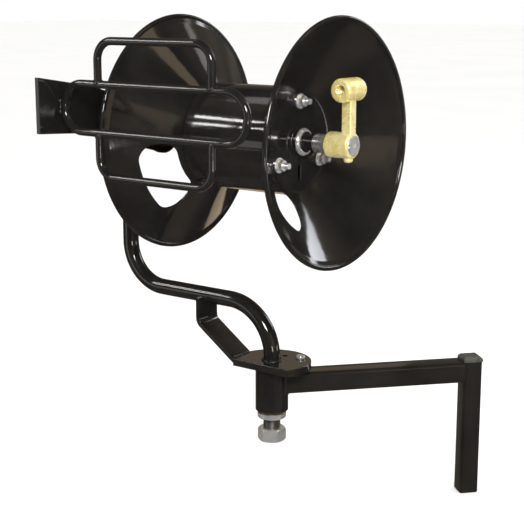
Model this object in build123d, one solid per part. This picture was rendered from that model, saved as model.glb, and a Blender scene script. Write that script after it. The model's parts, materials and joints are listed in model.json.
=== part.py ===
from build123d import *
import os
from math import cos, radians, sin, sqrt

# A hose reel on a swing arm, in millimetres. The object's origin is the middle of the
# post's lower end, +Z is up, and +X runs along the reel's axle from the arm side to the
# water inlet. A round bar, bent into an S, turns in a barrel on the bracket and carries
# the drum from one end only.

# ---- driving dimensions: bracket -------------------------------------------------------
post_side = 34.0            # square tube that stands in the customer's socket
post_wall = 3.0
post_height = 246.0         # without its cap; the bracket tube is flush with its top
tube_width = 44.0           # rectangular tube from the barrel to the post
tube_height = 36.0
tube_wall = 3.0
bracket_reach = 362.0       # post centre to pivot axis
bracket_yaw = 48.6          # degrees from the axle's direction to the bracket tube
cap_rise = 9.0
cap_bevel = 4.0
cap_overhang = 0.6          # the cap stands this far proud of the post's sides
cap_plug = 18.0
barrel_od = 57.2
barrel_id = 38.0
barrel_length = 76.0
barrel_chamfer = 3.5
barrel_above_tube = 6.0     # the barrel stands this much over the tube's top

# ---- driving dimensions: swing arm -----------------------------------------------------
bar_dia = 28.6
arm_offset = 326.0          # upright part of the bar to the pivot axis
lower_bend = 90.0           # centre-line radius over the pivot
upper_bend = 78.0           # centre-line radius under the upright part
crossbar_height = 362.0     # level stretch of the bar, over the post's lower end
plate_thick = 12.7          # round index plate
plate_radius = 68.0
plate_edge = 0.8
plate_front = 34.0          # pivot axis to the plate's straight front edge
spare_hole_dia = 10.0
spare_hole_radius = 34.0
spare_hole_angle = 85.0     # degrees from the axle's direction
strap_width = 51.0
strap_front = 31.0          # the strap's front edge to the pivot axis
strap_thick = 8.0
strap_leg = 30.0            # upright leg of the strap, under the bar
strap_top_x = 141.0         # middle of that leg to the pivot axis
strap_foot_x = 60.0         # where the strap's middle meets the index plate's mid-height
thread_end = 54.0           # end of the bar under the barrel
pivot_collar_od = 50.0      # round nut that sets the play under the barrel
pivot_collar_height = 9.0
pivot_collar_chamfer = 2.0
pivot_nut_flats = 42.9
lock_nut_height = 22.0
lock_nut_gap = 19.0         # thread seen between the collar and the nut

# ---- driving dimensions: bushes and fits -----------------------------------------------
running_gap = 0.05          # radial clearance of a shaft in its bush
face_gap = 0.3              # axial clearance beside a turning face
loose_gap = 0.5             # radial clearance of a bolt in its hole
bush_flange_thick = 2.0
bush_length = 26.0          # in the bore
bush_flange_od = 46.0

# ---- driving dimensions: lock pin ------------------------------------------------------
lock_radius = 50.5          # lock pin to the pivot axis
lock_pin_dia = 9.5
lock_pin_point = 1.5        # chamfer on the pin's tip
lock_travel = 6.0
lock_gap = 0.4              # radial clearance of the pin in its holes
lock_boss_od = 20.0
lock_knob_dia = 16.5
lock_knob_height = 5.0
lock_recess_gap = 0.5       # between the knob and its recess in the index plate

# ---- driving dimensions: drum and flanges ----------------------------------------------
axle_height = 648.0         # over the post's lower end
reel_shift = 33.0           # middle of the reel to the pivot axis, towards the arm
drum_width = 172.0          # between the inner faces of the two flanges
drum_od = 178.0
drum_wall = 2.5
flange_sheet = 2.5          # measured along the axle
hub_flat_radius = 82.0
hub_bend = 10.0             # radius between hub plate and cone
cone_depth = 74.0           # hub plate to the end of the cone
cone_radius = 188.0
rim_depth = 81.0            # hub plate to the middle of the rolled lip
rim_radius = 203.2
lip_radius = 4.0
kidney_inner = 94.0
kidney_outer = 150.0
kidney_span_left = 57.0     # degrees
kidney_span_right = 44.0
kidney_corner = 24.0
kidney_left = 58.0          # middle of the hole, degrees from straight down to the front
kidney_right = 40.0
hub_slot_width = 7.0
hub_slot_length = 24.0
hub_slot_radius = 51.0
tie_circle = 66.0           # radius of the three tie rods
tie_rod_dia = 9.5
tie_count = 3
tie_stub = 21.0             # rod outside a hub plate
tie_nut_flats = 16.5
tie_nut_height = 9.0
tie_washer_od = 25.0
tie_washer_thick = 2.0

# ---- driving dimensions: axle on the arm side ------------------------------------------
housing_od = 50.8
housing_id = 38.0
housing_past_bar = 23.0     # housing beyond the middle of the upright bar
spindle_dia = 25.4
spindle_flange_od = 100.0
spindle_flange_thick = 8.0
flange_bolt_circle = 39.0   # radius
flange_bolt_dia = 8.0
flange_bolt_count = 6
flange_bolt_head = 13.0
flange_bolt_head_height = 5.3
flange_nut_height = 6.5
spindle_washer_od = 44.0
spindle_washer_thick = 3.0
spindle_nut_flats = 38.0
spindle_nut_height = 14.0
spindle_end = 4.0           # thread past the nut

# ---- driving dimensions: water passage -------------------------------------------------
boss_od = 46.0
boss_length = 13.5
pipe_od = 26.7
pipe_bore = 15.0
stem_start = 33.0           # collar's near face to the hub plate's outer face
stem_od = 31.0
stem_length = 26.0
journal_dia = 22.0
journal_length = 27.0
journal_bore = 12.0
seal_section = 2.0
seal_places = (6.0, 14.5)   # seals to the journal's shoulder
swivel_od = 42.0
swivel_length = 45.0
swivel_edge = 3.0
shoulder_length = 22.0      # stretch of the barrel that runs on the journal
chamber_dia = 30.0
ring_thick = 1.5
ring_od = 26.0
end_plug_dia = 33.0
end_plug_depth = 6.0
end_plug_rise = 2.5
riser_width = 18.0
riser_depth = 17.0
riser_bore = 10.0
port_height = 88.0          # inlet port's axis over the axle
port_od = 38.0
port_front = 27.0
port_back = 25.0
port_edge = 5.0
inlet_thread_dia = 18.6     # half-inch pipe thread
inlet_thread_length = 22.0
drain_plug_dia = 15.0
drain_plug_drop = 6.0
drain_shank_dia = 9.0
drain_shank_length = 4.0
outlet_place = 20.0         # outlet to the reel's middle, towards the arm
outlet_angle = 100.0        # degrees from straight up to the back
outlet_pipe_od = 21.3
outlet_pipe_bore = 12.0
elbow_od = 38.0
elbow_reach = 24.0
outlet_socket_od = 30.0
outlet_socket_start = 70.0  # from the axle
outlet_socket_end = 104.0
outlet_thread_dia = 14.9    # three-eighths pipe thread
outlet_thread_length = 18.0

# ---- driving dimensions: hose guide ----------------------------------------------------
guide_rod_dia = 12.7
guide_distance = 247.0      # plane of the guide to the axle
guide_left = 198.6          # centre lines, from the reel's middle
guide_right = 172.6
guide_low = 21.0            # lower and upper rod of the long loop, over the axle
guide_high = 97.0
bow_left = 123.0
bow_right = 107.0
bow_low = -48.0
bow_high = 164.5
bow_bend = 30.0
guide_plate_thick = 8.0
guide_plate_end = 296.0     # front end of the guide plate to the axle
guide_plate_top = 107.0
guide_plate_bottom = 18.0
guide_waist = 190.0         # place where its edges turn, from the axle
guide_waist_top = 90.0
guide_waist_bottom = 11.0
guide_plate_round = 40.0    # round end about the bearing housing

# ---- places worked out from the sizes above --------------------------------------------
pivot_x = -bracket_reach * cos(radians(bracket_yaw))
pivot_y = -bracket_reach * sin(radians(bracket_yaw))
barrel_top = post_height + barrel_above_tube
barrel_bottom = barrel_top - barrel_length
plate_bottom = barrel_top + bush_flange_thick + face_gap
plate_top = plate_bottom + plate_thick
lower_face = barrel_bottom - bush_flange_thick - face_gap
lock_nut_top = lower_face - pivot_collar_height - lock_nut_gap
hub_face = drum_width / 2
hub_back = hub_face + flange_sheet
bar_x = -arm_offset + reel_shift
housing_start = bar_x - housing_past_bar
housing_end = -hub_back - spindle_flange_thick - face_gap - bush_flange_thick
journal_start = hub_back + stem_start + stem_length
swivel_start = journal_start + face_gap
swivel_end = swivel_start + swivel_length
riser_x = swivel_end - riser_width / 2
lock_x = lock_radius * cos(radians(bracket_yaw))
lock_y = lock_radius * sin(radians(bracket_yaw))

bracket_place = Location((0, 0, 0), (0, 0, bracket_yaw))
pivot_place = Location((pivot_x, pivot_y, 0))
reel_place = Location((pivot_x - reel_shift, pivot_y, axle_height))

nodes = {}


def keep(name, shape, place):
    """Files one sub-part, moved from its helper frame into the object's frame."""
    nodes[name] = shape.moved(place)


def rod_x(dia, start, end, y=0.0, z=0.0):
    """A round bar along the axle, from start to end."""
    return Location(((start + end) / 2, y, z), (0, 90, 0)) * Cylinder(dia / 2, end - start)


def rod_y(dia, start, end, x=0.0, z=0.0):
    """A round bar along Y."""
    return Location((x, (start + end) / 2, z), (90, 0, 0)) * Cylinder(dia / 2, end - start)


def rod_z(dia, low, high, x=0.0, y=0.0):
    """An upright round bar."""
    return Pos(x, y, (low + high) / 2) * Cylinder(dia / 2, high - low)


def hex_nut(flats, height, hole):
    """A hexagon nut standing on the XY plane, corners turned off at both ends."""
    corner = flats / sqrt(3)
    turned = Cylinder(corner, height, align=(Align.CENTER, Align.CENTER, Align.MIN))
    turned = chamfer(turned.edges().filter_by(GeomType.CIRCLE), (corner - flats / 2) * 0.8)
    nut = extrude(RegularPolygon(flats / 2, 6, major_radius=False), height) & turned
    return nut - rod_z(hole, -height, height * 2)


def flange_bush(bore_dia, seat_dia):
    """A flanged bush: its flange stands on the XY plane and its body hangs below."""
    body = rod_z(seat_dia, -bush_length, 0) + rod_z(bush_flange_od, 0, bush_flange_thick)
    return body - rod_z(bore_dia, -2 * bush_length, bush_length)


def bent_rod(dia, path):
    """A round rod swept along a path of runs and arcs."""
    section = Plane(origin=path @ 0, z_dir=path % 0) * Circle(dia / 2)
    return sweep(section, path=path)


def around_axle(radius, count, start):
    """Places on a circle about the axle, as (y, z), the first at start degrees."""
    turns = [radians(start + 360.0 * i / count) for i in range(count)]
    return [(radius * cos(a), radius * sin(a)) for a in turns]


# ---- bracket ---------------------------------------------------------------------------
def make_post():
    outer = Box(post_side, post_side, post_height, align=(Align.CENTER, Align.CENTER, Align.MIN))
    hollow = post_side - 2 * post_wall
    return outer - Pos(0, 0, post_height / 2) * Box(hollow, hollow, post_height * 2)


def make_post_cap():
    side = post_side + 2 * cap_overhang
    head = Box(side, side, cap_rise, align=(Align.CENTER, Align.CENTER, Align.MIN))
    head = chamfer(head.faces().sort_by(Axis.Z)[-1].edges(), cap_bevel)
    plug = post_side - 2 * post_wall
    stem = Box(plug, plug, cap_plug, align=(Align.CENTER, Align.CENTER, Align.MAX))
    return Pos(0, 0, post_height) * (head + stem)


def make_bracket_tube():
    length = bracket_reach - post_side / 2
    middle = Pos(-post_side / 2 - length / 2, 0, post_height - tube_height / 2)
    outer = middle * Box(length, tube_width, tube_height)
    inner = middle * Box(length * 2, tube_width - 2 * tube_wall, tube_height - 2 * tube_wall)
    tube = outer - inner - rod_z(barrel_od, 0, axle_height, -bracket_reach)
    lock_hole = rod_z(lock_pin_dia + 2 * lock_gap, post_height - 2 * tube_wall, post_height + 1,
                      lock_radius - bracket_reach)
    return tube - lock_hole


def make_lock_boss():
    boss = rod_z(lock_boss_od, post_height, plate_bottom - face_gap, lock_radius - bracket_reach)
    boss = boss - rod_z(barrel_od, 0, axle_height, -bracket_reach)
    boss = boss - rod_z(bush_flange_od + 2 * face_gap, 0, axle_height, -bracket_reach)
    return boss - rod_z(lock_pin_dia + 2 * lock_gap, 0, axle_height, lock_radius - bracket_reach)


def make_barrel():
    barrel = rod_z(barrel_od, barrel_bottom, barrel_top)
    rims = barrel.edges().filter_by(GeomType.CIRCLE)
    barrel = chamfer(rims.sort_by(Axis.Z)[0], barrel_chamfer)
    return barrel - rod_z(barrel_id, 0, axle_height)


keep("post", make_post(), bracket_place)
keep("post_cap", make_post_cap(), bracket_place)
keep("bracket_tube", make_bracket_tube(), bracket_place)
keep("lock_boss", make_lock_boss(), bracket_place)
keep("pivot_barrel", make_barrel(), pivot_place)
pivot_bush = flange_bush(bar_dia + 2 * running_gap, barrel_id)
keep("upper_pivot_bush", Pos(0, 0, barrel_top) * pivot_bush, pivot_place)
keep("lower_pivot_bush", Pos(0, 0, barrel_bottom) * Rot(180, 0, 0) * pivot_bush, pivot_place)


# ---- swing arm -------------------------------------------------------------------------
def make_swing_arm():
    path = FilletPolyline(
        (0, 0, barrel_bottom - thread_end),
        (0, 0, crossbar_height),
        (-arm_offset, 0, crossbar_height),
        (-arm_offset, 0, axle_height),
        radius=[lower_bend, upper_bend],
    )
    housing_cut = Pos(-reel_shift, 0, axle_height) * rod_x(housing_od, housing_start, housing_end)
    return bent_rod(bar_dia, path) - housing_cut


def make_index_plate():
    plate = rod_z(2 * plate_radius, plate_bottom, plate_top)
    front = Pos(0, -plate_front, 0) * Box(4 * plate_radius, 2 * plate_radius, 4 * post_height,
                                          align=(Align.CENTER, Align.MAX, Align.CENTER))
    plate = plate - front
    plate = chamfer(plate.faces().sort_by(Axis.Z)[-1].edges(), plate_edge)
    spare_x = spare_hole_radius * cos(radians(spare_hole_angle))
    spare_y = spare_hole_radius * sin(radians(spare_hole_angle))
    plate = plate - rod_z(spare_hole_dia, 0, axle_height, spare_x, spare_y)
    plate = plate - rod_z(lock_pin_dia + 2 * lock_gap, 0, axle_height, lock_x, lock_y)
    plate = plate - rod_z(lock_knob_dia + 2 * lock_recess_gap, plate_top - lock_travel, axle_height, lock_x, lock_y)
    return plate - rod_z(bar_dia, 0, axle_height)


def make_strap():
    leg_top = crossbar_height
    leg_bottom = crossbar_height - bar_dia / 2 - strap_leg
    foot = plate_bottom + plate_thick / 2
    path = Polyline(
        (-strap_top_x, 0, leg_top),
        (-strap_top_x, 0, leg_bottom),
        (-strap_foot_x, 0, foot),
    )
    middle = strap_width / 2 - strap_front
    section = Plane(origin=path @ 0, x_dir=(0, 1, 0), z_dir=(0, 0, -1)) * Pos(middle, 0)
    strap = sweep(section * Rectangle(strap_width, strap_thick), path=path, transition=Transition.RIGHT)
    bar_cut = rod_x(bar_dia, -arm_offset, 0, 0, crossbar_height)
    over_bar = Pos(-strap_top_x, 0, crossbar_height + bar_dia) * Box(bar_dia, 2 * strap_width, 2 * bar_dia)
    plate_cut = rod_z(2 * plate_radius, plate_bottom - strap_thick, plate_top)
    strap = strap - bar_cut - over_bar - plate_cut
    return strap.solids().sort_by(SortBy.VOLUME)[-1]


keep("swing_arm", make_swing_arm(), pivot_place)
keep("index_plate", make_index_plate(), pivot_place)
keep("arm_strap", make_strap(), pivot_place)
collar = rod_z(pivot_collar_od, lower_face - pivot_collar_height, lower_face)
collar = chamfer(collar.edges().filter_by(GeomType.CIRCLE).sort_by(Axis.Z)[0], pivot_collar_chamfer)
keep("pivot_collar", collar - rod_z(bar_dia, 0, axle_height), pivot_place)
lock_nut = hex_nut(pivot_nut_flats, lock_nut_height, bar_dia)
lock_nut_at = Pos(0, 0, lock_nut_top - lock_nut_height) * Rot(0, 0, 30)
keep("pivot_lock_nut", lock_nut_at * lock_nut, pivot_place)


def make_lock_pin():
    """The pin is drawn up: its tip is in the index plate, and its knob clear of the recess."""
    knob_bottom = plate_top + face_gap
    shank = rod_z(lock_pin_dia, plate_bottom + face_gap, knob_bottom + lock_knob_height / 2)
    shank = chamfer(shank.edges().filter_by(GeomType.CIRCLE).sort_by(Axis.Z)[0], lock_pin_point)
    knob = rod_z(lock_knob_dia, knob_bottom, knob_bottom + lock_knob_height)
    knob = fillet(knob.edges().filter_by(GeomType.CIRCLE).sort_by(Axis.Z)[-1], lock_knob_height * 0.4)
    return Pos(lock_x, lock_y, 0) * (shank + knob)


keep("lock_pin", make_lock_pin(), pivot_place)


def make_housing():
    housing = rod_x(housing_od, housing_start, housing_end)
    housing = chamfer(housing.edges().filter_by(GeomType.CIRCLE), 1.5)
    return housing - rod_x(housing_id, housing_start - 1, housing_end + 1)


keep("bearing_housing", make_housing(), reel_place)
axle_bush = flange_bush(spindle_dia + 2 * running_gap, housing_id)
keep("inner_axle_bush", Location((housing_end, 0, 0), (0, 90, 0)) * axle_bush, reel_place)
keep("outer_axle_bush", Location((housing_start, 0, 0), (0, -90, 0)) * axle_bush, reel_place)


# ---- hose guide ------------------------------------------------------------------------
def make_guide_plate():
    outline = Polyline(
        (-guide_plate_end, guide_plate_bottom),
        (-guide_plate_end, guide_plate_top),
        (-guide_waist, guide_waist_top),
        (0, guide_plate_round),
        (0, -guide_plate_round),
        (-guide_waist, guide_waist_bottom),
        close=True,
    )
    face = make_face(outline) + Circle(guide_plate_round) - Circle(housing_od / 2)
    plane = Plane(origin=(-guide_left - guide_rod_dia / 2, 0, 0), x_dir=(0, 1, 0), z_dir=(1, 0, 0))
    return extrude(plane * face, -guide_plate_thick)


def make_guide_loop():
    middle_x = (guide_right - guide_left) / 2
    middle_z = (guide_high + guide_low) / 2
    length = guide_right + guide_left
    height = guide_high - guide_low
    plane = Plane(origin=(middle_x, -guide_distance, middle_z), x_dir=(1, 0, 0), z_dir=(0, -1, 0))
    outer = plane * SlotOverall(length + guide_rod_dia, height + guide_rod_dia)
    path = (plane * SlotOverall(length, height)).wires()[0]
    start = Plane(origin=path @ 0, z_dir=path % 0)
    return sweep(start * Circle(guide_rod_dia / 2), path=path), outer


def make_bow(base, crown):
    """A U of rod whose two legs stand on one rod of the long loop."""
    path = FilletPolyline(
        (-bow_left, -guide_distance, base),
        (-bow_left, -guide_distance, crown),
        (bow_right, -guide_distance, crown),
        (bow_right, -guide_distance, base),
        radius=bow_bend,
    )
    rail = rod_x(guide_rod_dia, -guide_left, guide_right, -guide_distance, base)
    return bent_rod(guide_rod_dia, path) - rail


keep("guide_plate", make_guide_plate(), reel_place)
keep("guide_loop", make_guide_loop()[0], reel_place)
keep("guide_top_bow", make_bow(guide_high, bow_high), reel_place)
keep("guide_bottom_bow", make_bow(guide_low, bow_low), reel_place)


# ---- drum and flanges ------------------------------------------------------------------
def kidney(angle, span):
    """A rounded, curved slot through the flange's cone, as a solid along the axle."""
    ring = Circle(kidney_outer) - Circle(kidney_inner)
    spread = radians(span / 2)
    far = 2 * kidney_outer
    wedge = make_face(Polyline(
        (0, 0),
        (far * cos(spread), far * sin(spread)),
        (far, 0),
        (far * cos(spread), -far * sin(spread)),
        close=True,
    ))
    hole = ring & wedge
    hole = fillet(hole.vertices(), kidney_corner)
    turned = Rot(0, 0, 270 - angle) * hole
    plane = Plane(origin=(0, 0, 0), x_dir=(0, 1, 0), z_dir=(1, 0, 0))
    return extrude(plane * turned, 2 * hub_face)


def make_flange(kidney_angle, kidney_span, centre_dia):
    """The flange on the inlet side; the other one is its mirror image."""
    lip_centre = rim_radius - lip_radius
    inner = FilletPolyline(
        (hub_face, centre_dia / 2),
        (hub_face, hub_flat_radius),
        (hub_face + cone_depth, cone_radius),
        (hub_face + rim_depth - flange_sheet / 2, lip_centre),
        radius=[hub_bend, hub_bend / 2],
    )
    outer = Pos(flange_sheet, 0, 0) * inner
    sheet = make_face([*inner.edges(), Line(inner @ 0, outer @ 0), *outer.edges(), Line(inner @ 1, outer @ 1)])
    lip = Pos(hub_face + rim_depth, lip_centre) * Circle(lip_radius)
    flange = revolve(sheet + lip, axis=Axis.X)
    flange = flange - kidney(kidney_angle, kidney_span)
    for y, z in around_axle(tie_circle, tie_count, 90):
        flange = flange - rod_x(tie_rod_dia + 2 * loose_gap, 0, 2 * hub_face, y, z)
    return flange


right_flange = make_flange(kidney_right, kidney_span_right, pipe_od)
slot = Location((hub_back, 0, -hub_slot_radius)) * Box(drum_width / 2, hub_slot_width, hub_slot_length)
keep("right_flange", right_flange - slot, reel_place)
left_flange = mirror(make_flange(kidney_left, kidney_span_left, spindle_dia), about=Plane.YZ)
for y, z in around_axle(flange_bolt_circle, flange_bolt_count, 0):
    left_flange = left_flange - rod_x(flange_bolt_dia + 2 * loose_gap, -2 * hub_face, 0, y, z)
keep("left_flange", left_flange, reel_place)

outlet_turn = Location((-outlet_place, 0, 0), (-outlet_angle, 0, 0))
drum = rod_x(drum_od, -hub_face, hub_face) - rod_x(drum_od - 2 * drum_wall, -2 * hub_face, 2 * hub_face)
drum = drum - outlet_turn * rod_z(outlet_socket_od + 2 * loose_gap, 0, drum_od)
keep("drum_shell", drum, reel_place)

tie_places = around_axle(tie_circle, tie_count, 90)
tie_end = hub_back + tie_stub
tie_rods = [rod_x(tie_rod_dia, -tie_end, tie_end, y, z) for y, z in tie_places]
keep("tie_rods", Compound(children=tie_rods), reel_place)
tie_washers = []
tie_nuts = []
for y, z in tie_places:
    ring = rod_x(tie_washer_od, 0, tie_washer_thick) - rod_x(tie_rod_dia, -1, tie_washer_thick + 1)
    nut = Rot(0, 90, 0) * hex_nut(tie_nut_flats, tie_nut_height, tie_rod_dia)
    tie_washers.append(Pos(hub_back, y, z) * ring)
    tie_washers.append(Pos(-hub_back - tie_washer_thick, y, z) * ring)
    tie_nuts.append(Pos(hub_back + tie_washer_thick, y, z) * nut)
    tie_nuts.append(Pos(-hub_back - tie_washer_thick - tie_nut_height, y, z) * nut)
keep("tie_washers", Compound(children=tie_washers), reel_place)
keep("tie_nuts", Compound(children=tie_nuts), reel_place)


# ---- spindle on the arm side -----------------------------------------------------------
spindle_face = -hub_back - spindle_flange_thick
outer_face = housing_start - bush_flange_thick - face_gap
washer_face = outer_face - spindle_washer_thick
nut_face = washer_face - spindle_nut_height
spindle = rod_x(spindle_dia, nut_face - spindle_end, -hub_face)
spindle = chamfer(spindle.edges().filter_by(GeomType.CIRCLE).sort_by(Axis.X)[0], 2.0)
spindle_plate = rod_x(spindle_flange_od, spindle_face, -hub_back)
bolt_places = around_axle(flange_bolt_circle, flange_bolt_count, 0)
for y, z in bolt_places:
    spindle_plate = spindle_plate - rod_x(flange_bolt_dia + 2 * loose_gap, -2 * hub_back, 0, y, z)
keep("spindle", spindle + spindle_plate, reel_place)
spindle_washer = rod_x(spindle_washer_od, washer_face, outer_face) - rod_x(spindle_dia, 2 * nut_face, 0)
keep("spindle_washer", spindle_washer, reel_place)
spindle_nut = Location((nut_face, 0, 0), (0, 90, 0)) * hex_nut(spindle_nut_flats, spindle_nut_height, spindle_dia)
keep("spindle_nut", spindle_nut, reel_place)
flange_bolts = []
flange_nuts = []
for y, z in bolt_places:
    head = Rot(0, 90, 0) * hex_nut(flange_bolt_head, flange_bolt_head_height, flange_bolt_dia)
    shank = rod_x(flange_bolt_dia, spindle_face - flange_bolt_head_height, -hub_face + flange_nut_height + 2)
    flange_bolts.append(Pos(spindle_face - flange_bolt_head_height, y, z) * head + Pos(0, y, z) * shank)
    nut = Rot(0, 90, 0) * hex_nut(flange_bolt_head, flange_nut_height, flange_bolt_dia)
    flange_nuts.append(Pos(-hub_face, y, z) * nut)
keep("flange_bolts", Compound(children=flange_bolts), reel_place)
keep("flange_nuts", Compound(children=flange_nuts), reel_place)


# ---- water passage in the drum ---------------------------------------------------------
boss = rod_x(boss_od, hub_back, hub_back + boss_length) - rod_x(pipe_od, 0, 2 * hub_back)
boss = chamfer(boss.edges().filter_by(GeomType.CIRCLE).sort_by(Axis.X)[-1], 1.5)
keep("hub_boss", boss, reel_place)
pipe_start = -outlet_place + elbow_od / 2
pipe_end = hub_back + stem_start
supply_pipe = rod_x(pipe_od, pipe_start, pipe_end) - rod_x(pipe_bore, -2 * hub_face, 2 * hub_face)
keep("supply_pipe", supply_pipe, reel_place)


def make_elbow():
    """A round elbow: one mouth towards the inlet, one up, turned to the outlet's angle."""
    upright = rod_z(elbow_od, 0, elbow_reach)
    level = rod_x(elbow_od, 0, elbow_reach)
    body = Sphere(elbow_od / 2) + upright + level
    body = body - rod_z(pipe_bore, 0, 2 * elbow_reach) - rod_x(pipe_bore, 0, 2 * elbow_reach)
    body = body - rod_x(pipe_od, elbow_od / 2, 2 * elbow_reach)
    return body - rod_z(outlet_pipe_od, elbow_od / 2, 2 * elbow_reach)


def make_outlet_socket():
    socket = rod_z(outlet_socket_od, outlet_socket_start, outlet_socket_end)
    socket = chamfer(socket.edges().filter_by(GeomType.CIRCLE), 1.2)
    thread_start = outlet_socket_end - outlet_thread_length
    socket = socket - rod_z(outlet_thread_dia, thread_start, 2 * outlet_socket_end)
    return socket - rod_z(outlet_pipe_od, 0, thread_start)


outlet_pipe_end = outlet_socket_end - outlet_thread_length
outlet_pipe = rod_z(outlet_pipe_od, elbow_od / 2, outlet_pipe_end) - rod_z(outlet_pipe_bore, 0, drum_od)
keep("outlet_elbow", outlet_turn * make_elbow(), reel_place)
keep("outlet_pipe", outlet_turn * outlet_pipe, reel_place)
keep("outlet_socket", outlet_turn * make_outlet_socket(), reel_place)


# ---- swivel inlet ----------------------------------------------------------------------
def make_stem():
    collar = rod_x(stem_od, pipe_end, journal_start)
    collar = chamfer(collar.edges().filter_by(GeomType.CIRCLE), 1.5)
    journal = rod_x(journal_dia, journal_start, journal_start + journal_length)
    stem = collar + journal - rod_x(journal_bore, 0, 4 * hub_face)
    for place in seal_places:
        start = journal_start + place - seal_section / 2
        groove = rod_x(2 * journal_dia, start, start + seal_section)
        stem = stem - (groove - rod_x(journal_dia - 2 * seal_section, start, start + seal_section))
    ring_start = swivel_start + shoulder_length + face_gap
    groove = rod_x(2 * journal_dia, ring_start, ring_start + ring_thick)
    return stem - (groove - rod_x(journal_dia - ring_thick, ring_start, ring_start + ring_thick))


def make_swivel_body():
    barrel = rod_x(swivel_od, swivel_start, swivel_end)
    barrel = fillet(barrel.edges().filter_by(GeomType.CIRCLE), swivel_edge)
    riser = Pos(riser_x, 0, port_height / 2) * Box(riser_width, riser_depth, port_height)
    riser = fillet(riser.edges().filter_by(Axis.Z), 2.5)
    port = rod_y(port_od, -port_front, port_back, riser_x, port_height)
    port = fillet(port.edges().filter_by(GeomType.CIRCLE), port_edge)
    body = barrel + riser + port
    chamber_start = swivel_start + shoulder_length
    body = body - rod_x(journal_dia + 2 * running_gap, 0, chamber_start + 1)
    body = body - rod_x(chamber_dia, chamber_start, swivel_end - end_plug_depth)
    body = body - rod_x(end_plug_dia, swivel_end - end_plug_depth, 2 * swivel_end)
    body = body - rod_y(inlet_thread_dia, -2 * port_front, inlet_thread_length - port_front, riser_x, port_height)
    body = body - rod_y(riser_bore, -port_front, port_front / 4, riser_x, port_height)
    body = body - rod_z(riser_bore, 0, port_height, riser_x)
    return body - rod_z(drain_shank_dia, -swivel_od, 0, riser_x)


def make_drain_plug():
    head = rod_z(drain_plug_dia, -swivel_od / 2 - drain_plug_drop, -swivel_od / 2 + 3, riser_x)
    head = fillet(head.edges().filter_by(GeomType.CIRCLE).sort_by(Axis.Z)[0], drain_plug_drop * 0.6)
    head = head - rod_x(swivel_od, swivel_start, swivel_end)
    return head + rod_z(drain_shank_dia, -swivel_od / 2 - 1, drain_shank_length - swivel_od / 2, riser_x)


def make_end_plug():
    plug = rod_x(end_plug_dia, swivel_end - end_plug_depth, swivel_end + end_plug_rise)
    plug = chamfer(plug.edges().filter_by(GeomType.CIRCLE).sort_by(Axis.X)[-1], 1.0)
    key = Location((swivel_end + end_plug_rise, 0, 0), (0, 90, 0)) * extrude(RegularPolygon(5, 6), -4)
    return plug - key


keep("swivel_stem", make_stem(), reel_place)
seals = []
for place in seal_places:
    ring = Torus(journal_dia / 2 - seal_section / 2, seal_section / 2 - running_gap)
    seals.append(Location((journal_start + place, 0, 0), (0, 90, 0)) * ring)
keep("swivel_seals", Compound(children=seals), reel_place)
ring_start = swivel_start + shoulder_length + face_gap
retaining_ring = rod_x(ring_od, ring_start, ring_start + ring_thick)
retaining_ring = retaining_ring - rod_x(journal_dia - ring_thick, 0, 2 * ring_start)
retaining_ring = retaining_ring - Pos(ring_start, 0, -ring_od / 2) * Box(10 * ring_thick, 5.0, ring_od)
keep("retaining_ring", retaining_ring, reel_place)
keep("swivel_body", make_swivel_body(), reel_place)
keep("swivel_end_plug", make_end_plug(), reel_place)
keep("swivel_drain_plug", make_drain_plug(), reel_place)

os.makedirs("parts", exist_ok=True)
for name, shape in nodes.items():
    export_step(shape, f"parts/{name}.step")
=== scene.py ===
import json
import math
import random

import bmesh
import bpy
from mathutils import Matrix, Vector


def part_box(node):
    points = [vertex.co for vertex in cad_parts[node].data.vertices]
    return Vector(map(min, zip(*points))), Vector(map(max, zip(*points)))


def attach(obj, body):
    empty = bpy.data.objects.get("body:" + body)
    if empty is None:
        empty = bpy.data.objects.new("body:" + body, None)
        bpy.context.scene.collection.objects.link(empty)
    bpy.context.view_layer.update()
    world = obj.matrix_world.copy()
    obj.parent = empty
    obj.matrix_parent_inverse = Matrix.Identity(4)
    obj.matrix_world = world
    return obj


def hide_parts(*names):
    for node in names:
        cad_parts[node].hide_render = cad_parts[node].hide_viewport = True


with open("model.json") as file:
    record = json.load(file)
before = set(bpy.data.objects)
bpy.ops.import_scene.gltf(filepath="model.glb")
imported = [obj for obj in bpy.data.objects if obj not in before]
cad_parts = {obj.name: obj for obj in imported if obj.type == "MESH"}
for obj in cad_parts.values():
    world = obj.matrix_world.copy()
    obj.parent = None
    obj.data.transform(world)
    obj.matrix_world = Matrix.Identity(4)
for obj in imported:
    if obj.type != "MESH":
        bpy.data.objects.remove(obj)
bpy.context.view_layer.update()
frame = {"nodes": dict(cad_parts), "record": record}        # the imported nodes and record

nodes = frame["nodes"]

# ---- places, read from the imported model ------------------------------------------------
low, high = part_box("bearing_housing")
axle = Vector((0.0, (low.y + high.y) / 2, (low.z + high.z) / 2))
low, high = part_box("drum_shell")
reel = Vector(((low.x + high.x) / 2, axle.y, axle.z))
low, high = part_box("pivot_barrel")
pivot = Vector(((low.x + high.x) / 2, (low.y + high.y) / 2, 0.0))
yaw = math.atan2(-pivot.y, -pivot.x)


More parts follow.
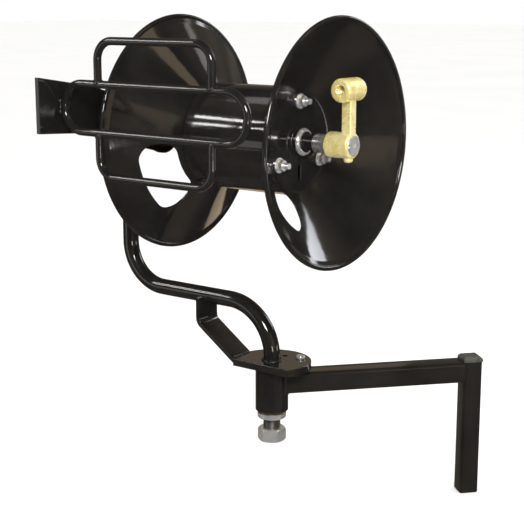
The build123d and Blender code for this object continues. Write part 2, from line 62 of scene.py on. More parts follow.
# ---- materials ---------------------------------------------------------------------------
class Nodes:
    """A short way to write a node tree."""

    def __init__(self, name):
        self.material = bpy.data.materials.new(name)
        self.material.use_nodes = True
        self.tree = self.material.node_tree
        self.shader = next(n for n in self.tree.nodes if n.type == "BSDF_PRINCIPLED")
        self.place = self.add("ShaderNodeTexCoord").outputs["Object"]

    def add(self, kind, **values):
        node = self.tree.nodes.new(kind)
        for key, value in values.items():
            setattr(node, key, value)
        return node

    def link(self, source, target):
        self.tree.links.new(source, target)

    def noise(self, scale, detail=3.0, rough=0.5, distortion=0.0, place=None):
        node = self.add("ShaderNodeTexNoise")
        node.inputs["Scale"].default_value = scale
        node.inputs["Detail"].default_value = detail
        node.inputs["Roughness"].default_value = rough
        node.inputs["Distortion"].default_value = distortion
        self.link(place or self.place, node.inputs["Vector"])
        return node.outputs["Fac"]

    def ramp(self, source, stops):
        node = self.add("ShaderNodeValToRGB")
        elements = node.color_ramp.elements
        while len(elements) < len(stops):
            elements.new(0.5)
        for element, (at, colour) in zip(elements, stops):
            element.position = at
            element.color = colour if len(colour) == 4 else (*colour, 1.0)
        self.link(source, node.inputs["Fac"])
        return node.outputs["Color"]

    def to_range(self, source, low, high, out_low, out_high):
        node = self.add("ShaderNodeMapRange")
        node.inputs["From Min"].default_value = low
        node.inputs["From Max"].default_value = high
        node.inputs["To Min"].default_value = out_low
        node.inputs["To Max"].default_value = out_high
        self.link(source, node.inputs["Value"])
        return node.outputs["Result"]

    def mix(self, factor, a, b, blend="MIX"):
        node = self.add("ShaderNodeMix", data_type="RGBA", blend_type=blend)
        for socket, value in (("Factor", factor), ("A", a), ("B", b)):
            self.set(node.inputs[socket], value)
        return node.outputs["Result"]

    def set(self, socket, value):
        if isinstance(value, bpy.types.NodeSocket):
            self.link(value, socket)
        elif isinstance(value, tuple) and len(value) == 3:
            socket.default_value = (*value, 1.0)
        else:
            socket.default_value = value

    def bump(self, height, strength, distance, normal=None):
        node = self.add("ShaderNodeBump")
        node.inputs["Strength"].default_value = strength
        node.inputs["Distance"].default_value = distance
        self.link(height, node.inputs["Height"])
        if normal:
            self.link(normal, node.inputs["Normal"])
        return node.outputs["Normal"]

    def finish(self, colour, rough, normal=None, metallic=0.0, **plain):
        self.set(self.shader.inputs["Base Color"], colour)
        self.set(self.shader.inputs["Roughness"], rough)
        self.shader.inputs["Metallic"].default_value = metallic
        for name, value in plain.items():
            self.shader.inputs[name.replace("_", " ")].default_value = value
        if normal:
            self.link(normal, self.shader.inputs["Normal"])
        return self.material


def powder_coat(name):
    """Gloss black powder coat: orange peel, faint dust, edges rounded by the coat."""
    m = Nodes(name)
    cloud = m.noise(14.0, 4.0, 0.6)
    speck = m.noise(900.0, 2.0, 0.5)
    black = (0.006, 0.0057, 0.0053)
    faded = (0.012, 0.0110, 0.0100)
    colour = m.ramp(cloud, [(0.30, black), (0.72, faded)])
    dust = m.to_range(speck, 0.68, 0.80, 0.0, 0.30)
    colour = m.mix(dust, colour, (0.035, 0.032, 0.028))
    rough = m.to_range(cloud, 0.3, 0.75, 0.055, 0.13)
    edge = m.add("ShaderNodeBevel", samples=6)
    edge.inputs["Radius"].default_value = 0.0014
    peel = m.noise(420.0, 2.0, 0.45)
    wave = m.noise(38.0, 2.0, 0.5)
    normal = m.bump(peel, 0.05, 0.0005, edge.outputs["Normal"])
    normal = m.bump(wave, 0.08, 0.0024, normal)
    return m.finish(colour, rough, normal, 0.0)


def brass(name):
    """Cast and turned brass: fine casting grain, tarnish in patches, bright where turned."""
    m = Nodes(name)
    cloud = m.noise(45.0, 4.0, 0.6)
    tarnished = (0.74, 0.60, 0.20)
    plain = (0.88, 0.76, 0.34)
    bright = (0.94, 0.88, 0.54)
    colour = m.ramp(cloud, [(0.28, tarnished), (0.52, plain), (0.75, bright)])
    grain = m.noise(1400.0, 3.0, 0.6)
    rough = m.to_range(cloud, 0.3, 0.7, 0.20, 0.36)
    normal = m.bump(grain, 0.16, 0.0004)
    normal = m.bump(m.noise(160.0, 3.0, 0.6), 0.12, 0.0006, normal)
    return m.finish(colour, rough, normal, 0.50)


def zinc(name):
    """Bright zinc plate: faint clouds, light handling marks."""
    m = Nodes(name)
    cloud = m.noise(70.0, 3.0, 0.55)
    bluish = (0.66, 0.67, 0.69)
    plain = (0.80, 0.80, 0.79)
    yellowish = (0.88, 0.86, 0.80)
    colour = m.ramp(cloud, [(0.3, bluish), (0.55, plain), (0.8, yellowish)])
    marks = m.noise(420.0, 2.0, 0.5)
    rough = m.to_range(marks, 0.3, 0.7, 0.15, 0.27)
    normal = m.bump(marks, 0.05, 0.0002)
    return m.finish(colour, rough, normal, 0.82)


def machined_steel(name):
    """Turned bright steel, lightly oiled, its edges broken."""
    m = Nodes(name)
    cloud = m.noise(90.0, 4.0, 0.6)
    colour = m.ramp(cloud, [(0.3, (0.50, 0.50, 0.52)), (0.7, (0.68, 0.67, 0.66))])
    stretched = m.add("ShaderNodeMapping")
    stretched.inputs["Scale"].default_value = (2600.0, 60.0, 60.0)
    m.link(m.place, stretched.inputs["Vector"])
    lines = m.noise(1.0, 2.0, 0.5, place=stretched.outputs["Vector"])
    rough = m.to_range(lines, 0.3, 0.7, 0.16, 0.30)
    edge = m.add("ShaderNodeBevel", samples=6)
    edge.inputs["Radius"].default_value = 0.0016
    normal = m.bump(lines, 0.10, 0.0002, edge.outputs["Normal"])
    return m.finish(colour, rough, normal, 0.88)


def moulded_plastic(name):
    """Black moulded plastic with a fine grain."""
    m = Nodes(name)
    cloud = m.noise(60.0, 3.0, 0.6)
    colour = m.ramp(cloud, [(0.3, (0.040, 0.041, 0.036)), (0.7, (0.066, 0.067, 0.058))])
    rough = m.to_range(cloud, 0.3, 0.7, 0.22, 0.34)
    normal = m.bump(m.noise(2200.0, 2.0, 0.5), 0.12, 0.0003)
    return m.finish(colour, rough, normal, 0.0)


def bronze(name):
    """Sintered bronze, oiled."""
    m = Nodes(name)
    pores = m.noise(1500.0, 2.0, 0.6)
    colour = m.ramp(pores, [(0.35, (0.20, 0.11, 0.05)), (0.6, (0.48, 0.30, 0.15))])
    rough = m.to_range(pores, 0.3, 0.7, 0.45, 0.3)
    return m.finish(colour, rough, m.bump(pores, 0.2, 0.0003), 1.0)


def rubber(name):
    """Dull black rubber."""
    m = Nodes(name)
    cloud = m.noise(300.0, 2.0, 0.5)
    colour = m.ramp(cloud, [(0.3, (0.010, 0.010, 0.010)), (0.7, (0.025, 0.025, 0.025))])
    return m.finish(colour, m.to_range(cloud, 0.3, 0.7, 0.5, 0.65), m.bump(cloud, 0.1, 0.0002), 0.0)


def black_thread(name):
    """Dark phosphated steel."""
    m = Nodes(name)
    cloud = m.noise(260.0, 3.0, 0.6)
    colour = m.ramp(cloud, [(0.3, (0.05, 0.05, 0.052)), (0.7, (0.13, 0.125, 0.12))])
    return m.finish(colour, m.to_range(cloud, 0.3, 0.7, 0.34, 0.5), m.bump(cloud, 0.1, 0.0002), 0.85)


finishes = {
    "black_powder_coat": powder_coat("black_powder_coat"),
    "black_plastic": moulded_plastic("black_plastic"),
    "bronze": bronze("bronze"),
    "zinc_plate": zinc("zinc_plate"),
    "steel": machined_steel("steel"),
    "brass": brass("brass"),
    "rubber": rubber("rubber"),
}
for part in frame["record"]["subparts"]:
    node = nodes[part["node"]]
    for material_slot in node.material_slots:
        material_slot.material = finishes[part["material_slot"]]


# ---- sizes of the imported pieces, in metres -----------------------------------------------
BAR = 0.0143                # radius of the swing arm's bar
ROD = 0.00635               # radius of the guide's rods
HOUSING = 0.0254            # radius of the bearing housing
BARREL = 0.0286             # radius of the pivot barrel
REACH = 0.362               # post's middle to the pivot axis
TUBE_WIDTH = 0.044          # bracket tube
TUBE_HEIGHT = 0.036
TUBE_TOP = 0.246            # over the post's lower end
POST_SIDE = 0.034
PLATE_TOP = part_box("index_plate")[1].z
CROSSBAR = 0.362            # height of the bar's level stretch
STRAP_X = -0.141            # middle of the strap's upright leg, from the pivot
STRAP_FOOT = -0.060         # where the strap's middle meets the index plate
STRAP_THICK = 0.008
GUIDE_Y = -0.247            # plane of the guide's rods, from the axle
HUB_BACK = 0.0885           # outer face of a flange's hub plate, from the reel's middle
TIE_CIRCLE = 0.066          # radius of the circle of tie rods
TIE = 0.00475               # radius of a tie rod
TIE_NUT_END = 0.0995        # outer end of a tie nut, from the reel's middle
TIE_STUB = 0.0098           # threaded length past the nut
WALL_INSIDE = 0.027         # where the bracket tube ends, in the barrel's wall
TUBE_CORNER = 0.0055        # outer corner radius of the bracket tube
POST_CORNER = 0.0042
POST_WALL = 0.003
LOCK_RADIUS = 0.0505        # lock pin to the pivot axis
LOCK_BOSS = 0.0100          # radius of the boss under the pin
STRAP_WIDTH = 0.051
STRAP_MIDDLE = -0.0055      # the strap's middle lies this far in front of the bar's
STRAP_LEG = 0.030           # upright leg, under the bar
STRAP_BEND = 0.016
HALF_PLATE = 0.00635        # half the index plate's thickness
BAR_X = -0.293              # upright part of the bar, from the reel's middle
GUIDE_PLATE_FACES = (-0.21295, -0.20495)  # its two faces, from the reel's middle
LOOP_HIGH = 0.097           # rods of the guide's long loop, over the axle
LOOP_LOW = 0.021
BOW_LEFT = -0.123           # legs of the two bows, from the reel's middle
BOW_RIGHT = 0.107
BOSS = 0.023                # radius of the hub boss
BOSS_LENGTH = 0.0135
BOSS_EDGE = 0.0058          # radius of its rounded edge
EDGE_STEPS = 12
PIPE = 0.01335              # radius of the supply pipe
BOLTING_PLATE = 0.008       # thickness of the spindle's plate
SPINDLE = 0.0127            # radius of the spindle
SPINDLE_END = 0.0040        # thread past its nut
RISER_X = 0.1838            # swivel's riser, from the reel's middle
PORT_RISE = 0.088           # inlet port over the axle
INLET = 0.0093              # radius of the inlet's thread
OUTLET_X = -0.020           # outlet, from the reel's middle
OUTLET_WAY = (0, 0.9848, -0.1736)  # its direction from the axle
OUTLET_THREAD_START = 0.0870  # from the axle
OUTLET = 0.00745            # radius of the outlet's thread


# ---- pieces shaped here ------------------------------------------------------------------
def piece(name, verts, faces, body, slot_name, finish, sharp=35.0):
    """A mesh in the object's frame that rides on a body."""
    mesh = bpy.data.meshes.new(name)
    mesh.from_pydata([tuple(v) for v in verts], [], faces)
    work = bmesh.new()
    work.from_mesh(mesh)
    bmesh.ops.recalc_face_normals(work, faces=work.faces)
    work.to_mesh(mesh)
    work.free()
    mesh.polygons.foreach_set("use_smooth", [True] * len(mesh.polygons))
    mesh.set_sharp_from_angle(angle=math.radians(sharp))
    mesh.materials.append(finish)
    made = bpy.data.objects.new(name, mesh)
    bpy.context.scene.collection.objects.link(made)
    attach(made, body)
    return made


def skin(rings, closed_path=False, caps=True):
    """Faces over rings of equal length, each a closed loop of corners."""
    count = len(rings[0])
    verts = [corner for ring in rings for corner in ring]
    faces = []
    last = len(rings) if closed_path else len(rings) - 1
    for i in range(last):
        a = i * count
        b = ((i + 1) % len(rings)) * count
        for j in range(count):
            k = (j + 1) % count
            faces.append((a + j, a + k, b + k, b + j))
    if caps and not closed_path:
        faces.append(tuple(range(count)))
        faces.append(tuple((len(rings) - 1) * count + j for j in range(count)))
    return verts, faces


def evenly(points, step, closed):
    """The path walked again in equal steps."""
    if closed:
        points = points + [points[0]]
    lengths = [(b - a).length for a, b in zip(points, points[1:])]
    total = sum(lengths)
    count = max(4, round(total / step))
    walked = []
    for i in range(count if closed else count + 1):
        left = total * i / count
        for start, end, length in zip(points, points[1:], lengths):
            if left <= length or end is points[-1]:
                walked.append(start.lerp(end, min(1.0, left / max(length, 1e-9))))
                break
            left -= length
    return walked


def bead(points, radius, closed, seed):
    """A weld bead along a path: overlapping scallops, never quite even."""
    dice = random.Random(seed)
    step = 0.0006
    pitch = 0.0026
    knots = 6           # steps from one change of width to the next
    corners = 10
    path = evenly(points, step, closed)
    count = len(path)
    rings = []
    side = None
    swell = [dice.uniform(0.90, 1.10) for _ in range(count // knots + 3)]
    for i, place in enumerate(path):
        ahead = path[(i + 1) % count] if closed or i + 1 < count else place
        behind = path[i - 1] if closed or i > 0 else place
        along = (ahead - behind).normalized()
        if side is None:
            side = along.orthogonal().normalized()
        side = (side - along * side.dot(along)).normalized()
        other = along.cross(side)
        scallop = 0.84 + 0.16 * abs(math.sin(math.pi * i * step / pitch))
        knot = i // knots
        wide = swell[knot] * (1 - i % knots / knots) + swell[knot + 1] * (i % knots / knots)
        taper = 1.0 if closed else min(1.0, 0.35 + min(i, count - 1 - i) / 5)
        size = radius * scallop * wide * taper
        ring = []
        for j in range(corners):
            turn = 2 * math.pi * j / corners
            ring.append(place + (side * math.cos(turn) + other * math.sin(turn)) * size)
        rings.append(ring)
    return skin(rings, closed)


def join(parts):
    """Several (verts, faces) as one."""
    verts = []
    faces = []
    for more_verts, more_faces in parts:
        start = len(verts)
        verts += more_verts
        faces += [tuple(start + i for i in face) for face in more_faces]
    return verts, faces


def circle(centre, axis, radius, first=0.0, last=360.0, steps=72):
    """Places on a circle or an arc about an axis; angles run from the direction beside it."""
    axis = Vector(axis).normalized()
    start = Vector((0, 0, 1)).cross(axis) if abs(axis.z) < 0.9 else Vector((1, 0, 0))
    start.normalize()
    other = axis.cross(start)
    closed = last - first >= 360.0
    total = steps if closed else steps + 1
    angles = [math.radians(first + (last - first) * i / steps) for i in range(total)]
    return [Vector(centre) + (start * math.cos(a) + other * math.sin(a)) * radius for a in angles]


def at_reel(x, y, z):
    """A place measured from the reel's middle, on the axle."""
    return reel + Vector((x, y, z))


def at_pivot(x, y, z):
    """A place measured from the pivot axis, with its height over the post's lower end."""
    return pivot + Vector((x, y, z))


def at_bracket(x, y, z):
    """A place beside the bracket tube: x runs along it, from the post's middle."""
    return Vector((x * math.cos(yaw) - y * math.sin(yaw), x * math.sin(yaw) + y * math.cos(yaw), z))


def thread(origin, direction, radius, height, pitch, length, inside=False):
    """A helical ridge on a round bar, or in a round bore."""
    turn = Vector(direction).to_track_quat("Z", "Y").to_matrix()
    per_pitch = 8
    rows = max(2, round(length / pitch * per_pitch))
    around = 40
    sign = -1.0 if inside else 1.0
    rings = []
    for i in range(rows + 1):
        along = length * i / rows
        end = min(1.0, min(along, length - along) / pitch)
        ring = []
        for j in range(around):
            phase = (along / pitch - j / around) % 1.0
            ridge = 1.0 - abs(2.0 * phase - 1.0)
            size = radius + sign * (height * min(1.0, ridge * 1.25) * end - 0.00004)
            angle = 2 * math.pi * j / around
            corner = Vector((size * math.cos(angle), size * math.sin(angle), along))
            ring.append(Vector(origin) + turn @ corner)
        rings.append(ring)
    return skin(rings, caps=False)


def rounded(width, height, corner, steps=6):
    """Corners of a rounded rectangle about the origin, as (across, up)."""
    places = []
    for sign_x, sign_y, start in ((1, 1, 0), (-1, 1, 90), (-1, -1, 180), (1, -1, 270)):
        for i in range(steps + 1):
            angle = math.radians(start + 90.0 * i / steps)
            places.append((
                sign_x * (width / 2 - corner) + corner * math.cos(angle),
                sign_y * (height / 2 - corner) + corner * math.sin(angle),
            ))
    return places


COAT = "black_powder_coat"
coat = finishes[COAT]
UPWARD = (0, 0, 1)
AXLEWARD = (1, 0, 0)


def make_bracket_tube():
    """Rectangular tube with its rolled corners, coped to the barrel."""
    section = rounded(TUBE_WIDTH, TUBE_HEIGHT, TUBE_CORNER)
    middle = TUBE_TOP - TUBE_HEIGHT / 2
    near_post = -POST_SIDE / 2
    rings = []
    for along in (0.0, 0.25, 0.5, 0.75, 1.0):
        ring = []
        for y, z in section:
            cope = -REACH + math.sqrt(WALL_INSIDE ** 2 - y ** 2)
            x = cope + (near_post - 0.0004 - cope) * along
            ring.append(at_bracket(x, y, middle + z))
        rings.append(ring)
    inset = [(y * 0.985, z * 0.985) for y, z in section]
    rings.append([at_bracket(near_post - 0.0001, y, middle + z) for y, z in inset])
    made = piece("bracket_tube_shell", *skin(rings), "bracket", COAT, coat)
    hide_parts("bracket_tube")


def make_post():
    """Square tube with its rolled corners, open at its lower end."""
    edge = 0.001
    hollow = POST_SIDE - 2 * POST_WALL
    outer = rounded(POST_SIDE, POST_SIDE, POST_CORNER)
    softened = rounded(POST_SIDE - edge, POST_SIDE - edge, 0.0040)
    inner = rounded(hollow, hollow, 0.0015)
    stack = [(inner, 0.20), (inner, 0.0), (softened, 0.0), (outer, 0.0005)]
    stack += [(outer, TUBE_TOP * i / 6) for i in range(1, 7)]
    rings = [[at_bracket(x, y, z) for x, y in section] for section, z in stack]
    made = piece("post_shell", *skin(rings, caps=False), "bracket", COAT, coat)
    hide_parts("post")


def make_strap():
    """Flat bar bent once, with its sheared edges softened."""
    top = Vector((STRAP_X, 0, CROSSBAR))
    foot = Vector((STRAP_FOOT, 0, PLATE_TOP - HALF_PLATE))
    knee = Vector((STRAP_X, 0, CROSSBAR - BAR - STRAP_LEG))
    away = (foot - knee).normalized()
    sweep = math.acos(-away.z)
    reach = STRAP_BEND * math.tan(sweep / 2)
    path = [top, knee + Vector((0, 0, reach))]
    centre = path[-1] + Vector((STRAP_BEND, 0, 0))
    for i in range(1, 11):
        angle = math.pi + sweep * i / 10
        path.append(centre + Vector((math.cos(angle), 0, math.sin(angle))) * STRAP_BEND)
    path.append(foot)
    section = rounded(STRAP_WIDTH, STRAP_THICK, 0.0013, 4)
    rings = []
    for i, place in enumerate(path):
        along = (path[min(i + 1, len(path) - 1)] - path[max(i - 1, 0)]).normalized()
        if i == 0:
            along = Vector((0, 0, -1))
        out = Vector((0, 1, 0)).cross(along).normalized()
        start = at_pivot(0, 0, 0) + place
        rings.append([start + Vector((0, y + STRAP_MIDDLE, 0)) + out * z for y, z in section])
    made = piece("arm_strap_bent", *skin(rings), "arm", COAT, coat)
    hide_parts("arm_strap")


def make_arm_welds():
    """Beads where the bar, plate, strap, housing and guide meet."""
    ring = circle(at_pivot(0, 0, PLATE_TOP), UPWARD, BAR + 0.0006)
    beads = [bead(ring, radius=0.0034, closed=True, seed=1)]
    for side in (-1, 1):
        centre = at_pivot(STRAP_X + side * STRAP_THICK / 2, 0, CROSSBAR)
        saddle = circle(centre, AXLEWARD, BAR, first=175, last=365)
        beads.append(bead(saddle, radius=0.0026, closed=False, seed=2 + side))
    foot = [at_pivot(-0.0630, y, PLATE_TOP) for y in (-0.026, 0.0, 0.018)]
    beads.append(bead(foot, radius=0.0030, closed=False, seed=5))
    saddle = []
    for i in range(72):
        angle = 2 * math.pi * i / 72
        across = BAR * math.sin(angle)
        drop = -math.sqrt(HOUSING ** 2 - across ** 2)
        saddle.append(at_reel(BAR_X + BAR * math.cos(angle), across, drop))
    beads.append(bead(saddle, radius=0.0032, closed=True, seed=6))
    for i, x in enumerate(GUIDE_PLATE_FACES):
        ring = circle(at_reel(x, 0, 0), AXLEWARD, HOUSING + 0.0004)
        beads.append(bead(ring, radius=0.0030, closed=True, seed=7 + i))
    for side in (-1, 1):
        run = [at_reel(-0.2040, GUIDE_Y + side * 0.0045, z) for z in (0.046, 0.059, 0.072)]
        beads.append(bead(run, radius=0.0028, closed=False, seed=10 + side))
    legs = [(x, z, way) for z, way in ((LOOP_HIGH, 1), (LOOP_LOW, -1)) for x in (BOW_LEFT, BOW_RIGHT)]
    for i, (x, z, way) in enumerate(legs):
        saddle = []
        for j in range(64):
            angle = 2 * math.pi * j / 64
            across = ROD * math.cos(angle)
            place = at_reel(x + ROD * math.sin(angle), GUIDE_Y + across, 0) + Vector((0, 0, z))
            place.z += way * math.sqrt(max(0.0, ROD ** 2 - across ** 2))
            saddle.append(place)
        beads.append(bead(saddle, radius=0.0019, closed=True, seed=20 + i))
    piece("arm_welds", *join(beads), "arm", COAT, coat, 60.0)


def make_bracket_welds():
    """Beads round the bracket tube at the barrel and the post, and round the lock boss."""
    half = TUBE_WIDTH / 2
    low = TUBE_TOP - TUBE_HEIGHT
    around = [(-half, low), (-half, TUBE_TOP)]
    around += [(-half + TUBE_WIDTH * i / 12, TUBE_TOP) for i in range(1, 13)]
    around += [(half, low)]
    around += [(half - TUBE_WIDTH * i / 12, low) for i in range(1, 12)]
    cope = [at_bracket(-REACH + math.sqrt(BARREL ** 2 - y ** 2), y, z) for y, z in around]
    beads = [bead(cope, radius=0.0030, closed=True, seed=31)]
    side = POST_SIDE / 2
    for i, y in enumerate((-side, side)):
        run = [at_bracket(-side, y, z) for z in (low + 0.001, TUBE_TOP - 0.002)]
        beads.append(bead(run, radius=0.0026, closed=False, seed=32 + i))
    under = [at_bracket(-side, y, low) for y in (-side, side)]
    beads.append(bead(under, radius=0.0026, closed=False, seed=34))
    boss = at_bracket(LOCK_RADIUS - REACH, 0, TUBE_TOP)
    beads.append(bead(circle(boss, UPWARD, LOCK_BOSS), radius=0.0018, closed=True, seed=35))
    piece("bracket_welds", *join(beads), "bracket", COAT, coat, 60.0)


def make_hub_boss():
    """The boss with its turned, well rounded outer edge, left bare of paint."""
    end = HUB_BACK + BOSS_LENGTH
    profile = [(HUB_BACK, BOSS)]
    for i in range(EDGE_STEPS + 1):
        angle = math.radians(90 * i / EDGE_STEPS)
        x = end - BOSS_EDGE + BOSS_EDGE * math.sin(angle)
        profile.append((x, BOSS - BOSS_EDGE + BOSS_EDGE * math.cos(angle)))
    profile += [(end, PIPE + 0.0012), (end - 0.0006, PIPE + 0.0003)]
    profile += [(end - 0.0012, PIPE), (HUB_BACK, PIPE)]
    rings = []
    turns = 96
    for i in range(turns):
        turn = 2 * math.pi * i / turns
        rings.append([at_reel(x, r * math.sin(turn), r * math.cos(turn)) for x, r in profile])
    made = piece("hub_boss_turned", *skin(rings, closed_path=True), "drum", COAT, coat)
    made.data.materials.append(finishes["zinc_plate"])
    for i, face in enumerate(made.data.polygons):
        if 1 <= i % len(profile) <= EDGE_STEPS:
            face.material_index = 1
    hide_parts("hub_boss")


def make_drum_welds():
    """Beads round the hub boss, the supply pipe and the spindle."""
    # place along the axle, radius of the ring, radius of the bead, seed
    runs = [
        (HUB_BACK, 0.0232, 0.0024, 41),
        (HUB_BACK + BOSS_LENGTH, 0.01355, 0.0018, 42),
        (-HUB_BACK - BOLTING_PLATE, 0.0128, 0.0016, 43),
    ]
    beads = [
        bead(circle(at_reel(x, 0, 0), AXLEWARD, ring), radius=size, closed=True, seed=seed)
        for x, ring, size, seed in runs
    ]
    piece("drum_welds", *join(beads), "drum", COAT, coat, 60.0)


def make_threads():
    """The bar's end, the tie rods' stubs, the spindle's end, the inlet and the outlet."""
    dark = black_thread("dark_thread")
    plated = finishes["zinc_plate"]
    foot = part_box("swing_arm")[0].z
    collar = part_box("pivot_collar")[0].z
    bar = thread(at_pivot(0, 0, foot), UPWARD, BAR, height=0.0006, pitch=0.0022, length=collar - foot)
    piece("arm_thread", *bar, "arm", "steel", dark)
    stubs = []
    for i in range(3):
        angle = math.radians(90 + 120 * i)
        y = TIE_CIRCLE * math.cos(angle)
        z = TIE_CIRCLE * math.sin(angle)
        for side in (1, -1):
            start = at_reel(side * TIE_NUT_END, y, z)
            stubs.append(thread(start, (side, 0, 0), TIE, height=0.0004, pitch=0.0016, length=TIE_STUB))
    piece("tie_rod_threads", *join(stubs), "drum", "zinc_plate", plated)
    tip = Vector((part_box("spindle")[0].x, axle.y, axle.z))
    end = thread(tip, AXLEWARD, SPINDLE, height=0.0005, pitch=0.0018, length=SPINDLE_END)
    piece("spindle_thread", *end, "drum", "steel", finishes["steel"])
    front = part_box("swivel_body")[0].y
    mouth = Vector((reel.x + RISER_X, front + 0.0012, reel.z + PORT_RISE))
    inlet = thread(mouth, (0, 1, 0), INLET, height=0.0009, pitch=0.0018, length=0.0200, inside=True)
    piece("inlet_thread", *inlet, "swivel", "brass", finishes["brass"])
    way = Vector(OUTLET_WAY)
    mouth = at_reel(OUTLET_X, 0, 0) + way * OUTLET_THREAD_START
    outlet = thread(mouth, way, OUTLET, height=0.0008, pitch=0.0014, length=0.0160, inside=True)
    piece("outlet_thread", *outlet, "drum", "steel", finishes["steel"])


make_bracket_tube()
make_post()
make_strap()
make_arm_welds()
make_bracket_welds()
make_hub_boss()
make_drum_welds()
make_threads()


# ---- camera ------------------------------------------------------------------------------
FOCAL_LENGTH = 84.4
CAMERA_AZIMUTH = math.radians(37.17)
CAMERA_ELEVATION = math.radians(12.0)
CAMERA_FROM_REEL = (1.2508, -1.6346, 0.2249)
camera_data = bpy.data.cameras.new("camera")
camera_data.sensor_width = 36.0
camera_data.lens = FOCAL_LENGTH
camera = bpy.data.objects.new("camera", camera_data)
bpy.context.scene.collection.objects.link(camera)
back = Vector((
    math.sin(CAMERA_AZIMUTH) * math.cos(CAMERA_ELEVATION),
    -math.cos(CAMERA_AZIMUTH) * math.cos(CAMERA_ELEVATION),
    math.sin(CAMERA_ELEVATION),
))
right = Vector((math.cos(CAMERA_AZIMUTH), math.sin(CAMERA_AZIMUTH), 0.0))
up = back.cross(right)
eye = Vector(CAMERA_FROM_REEL) + reel
camera.matrix_world = Matrix.Translation(eye) @ Matrix((right, up, back)).transposed().to_4x4()
camera_data.clip_start = 0.05
bpy.context.scene.camera = camera


# ---- floor, world and lights -------------------------------------------------------------
def make_floor():
    """A plain pale floor that the gloss doesn't mirror."""
    mesh = bpy.data.meshes.new("floor")
    size = 40.0
    corners = [(-size, -size, 0), (size, -size, 0), (size, size, 0), (-size, size, 0)]
    mesh.from_pydata(corners, [], [(0, 1, 2, 3)])
    floor = bpy.data.objects.new("floor", mesh)
    bpy.context.scene.collection.objects.link(floor)
    floor.location = (0.0, 0.0, -0.0005)
    floor.visible_glossy = False
    m = Nodes("floor")
    cloud = m.noise(0.8, 3.0, 0.5)
    colour = m.ramp(cloud, [(0.3, (0.88, 0.88, 0.875)), (0.7, (0.91, 0.91, 0.905))])
    mesh.materials.append(m.finish(colour, 0.7))


def make_world():
    """Pale to the camera, a dim warm room to the reflections."""
    world = bpy.data.worlds.new("world")
    bpy.context.scene.world = world
    world.use_nodes = True
    tree = world.node_tree
    tree.nodes.clear()
    new = tree.nodes.new
    output = new("ShaderNodeOutputWorld")
    room = new("ShaderNodeBackground")
    room.inputs["Strength"].default_value = 1.0
    place = new("ShaderNodeTexCoord")
    patch = new("ShaderNodeTexNoise")
    patch.inputs["Scale"].default_value = 1.5
    patch.inputs["Detail"].default_value = 2.0
    tree.links.new(place.outputs["Generated"], patch.inputs["Vector"])
    tint = new("ShaderNodeValToRGB")
    tint.color_ramp.elements[0].position = 0.40
    tint.color_ramp.elements[0].color = (0.024, 0.0235, 0.022, 1.0)
    tint.color_ramp.elements[1].position = 0.66
    tint.color_ramp.elements[1].color = (0.22, 0.185, 0.145, 1.0)
    tree.links.new(patch.outputs["Fac"], tint.inputs["Fac"])
    tree.links.new(tint.outputs["Color"], room.inputs["Color"])
    pale = new("ShaderNodeBackground")
    pale.inputs["Color"].default_value = (1.0, 1.0, 1.0, 1.0)
    pale.inputs["Strength"].default_value = 1.0
    path = new("ShaderNodeLightPath")
    choose = new("ShaderNodeMixShader")
    tree.links.new(path.outputs["Is Camera Ray"], choose.inputs["Fac"])
    tree.links.new(room.outputs["Background"], choose.inputs[1])
    tree.links.new(pale.outputs["Background"], choose.inputs[2])
    tree.links.new(choose.outputs["Shader"], output.inputs["Surface"])


def panel(name, direction, distance, width, height, radiance, colour=(1.0, 1.0, 1.0)):
    """A softbox in that direction from the reel, wide along the level and tall across it."""
    data = bpy.data.lights.new(name, "AREA")
    data.shape = "RECTANGLE"
    data.size = width
    data.size_y = height
    data.energy = radiance * math.pi * width * height
    data.color = colour
    light = bpy.data.objects.new(name, data)
    bpy.context.scene.collection.objects.link(light)
    away = Vector(direction).normalized()
    light.matrix_world = (
        Matrix.Translation(reel + away * distance)
        @ away.to_track_quat("Z", "Y").to_matrix().to_4x4()
    )
    light.visible_camera = False
    return light


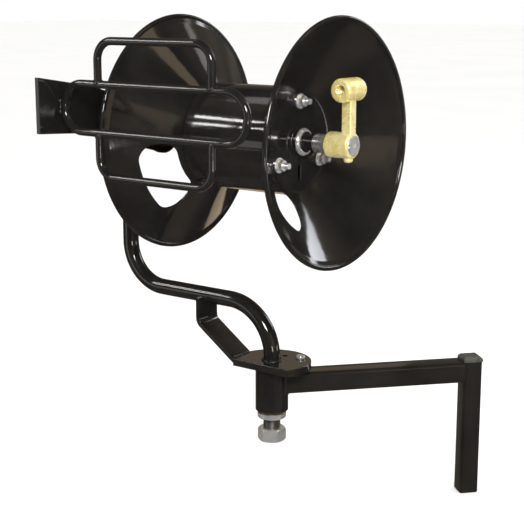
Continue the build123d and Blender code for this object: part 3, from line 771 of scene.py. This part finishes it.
def soft_sun():
    """Lights the floor evenly, and doesn't show in the gloss."""
    data = bpy.data.lights.new("soft_sun", "SUN")
    data.energy = 3.7
    data.color = (0.985, 0.99, 1.0)
    data.angle = math.radians(110.0)
    light = bpy.data.objects.new("soft_sun", data)
    bpy.context.scene.collection.objects.link(light)
    light.rotation_euler = (math.radians(12.0), math.radians(8.0), 0.0)
    light.visible_glossy = False


make_floor()
make_world()
soft_sun()
WHITE = (1.0, 0.98, 0.95)
WARM = (1.0, 0.78, 0.52)
COOL = (0.93, 0.95, 1.0)
# name, direction from the reel, distance, width, height, radiance, colour
PANELS = [
    ("window_low", (-0.70, -0.68, 0.38), 3.2, 0.85, 0.20, 20.0, WHITE),
    ("window_high", (-0.69, -0.55, 0.55), 3.2, 0.85, 0.20, 20.0, WHITE),
    ("ceiling", (-0.55, 0.05, 0.83), 3.0, 0.8, 0.4, 1.4, WHITE),
    ("front_wall", (-0.55, -0.80, -0.12), 3.4, 1.6, 0.9, 1.1, WHITE),
    ("right_back", (0.60, 0.36, 0.72), 3.0, 0.6, 1.0, 1.6, WARM),
    ("back_window", (0.24, 0.92, 0.30), 3.0, 0.60, 1.2, 6.0, COOL),
    ("far_wall", (-0.59, 0.78, 0.22), 3.2, 1.3, 0.6, 0.22, WARM),
    ("warm_low", (-0.40, 0.78, -0.48), 2.6, 1.4, 0.5, 0.9, WARM),
    ("right_wall", (0.95, -0.25, 0.15), 3.2, 1.0, 1.4, 0.6, WARM),
    ("back_high", (0.21, 0.78, 0.59), 3.0, 0.5, 0.4, 1.6, WHITE),
    ("right_low", (0.80, 0.57, -0.14), 3.0, 1.4, 0.34, 2.6, WHITE),
    ("by_the_camera", (0.60, -0.72, 0.40), 2.3, 0.70, 0.50, 42.0, WHITE),
    ("below_the_camera", (0.78, -0.58, -0.17), 2.4, 0.50, 0.30, 12.0, WHITE),
]
for settings in PANELS:
    panel(*settings)
bpy.context.scene.view_settings.view_transform = "Standard"

# ---- the last lines ----------------------------------------------------------------------
bpy.context.view_layer.update()
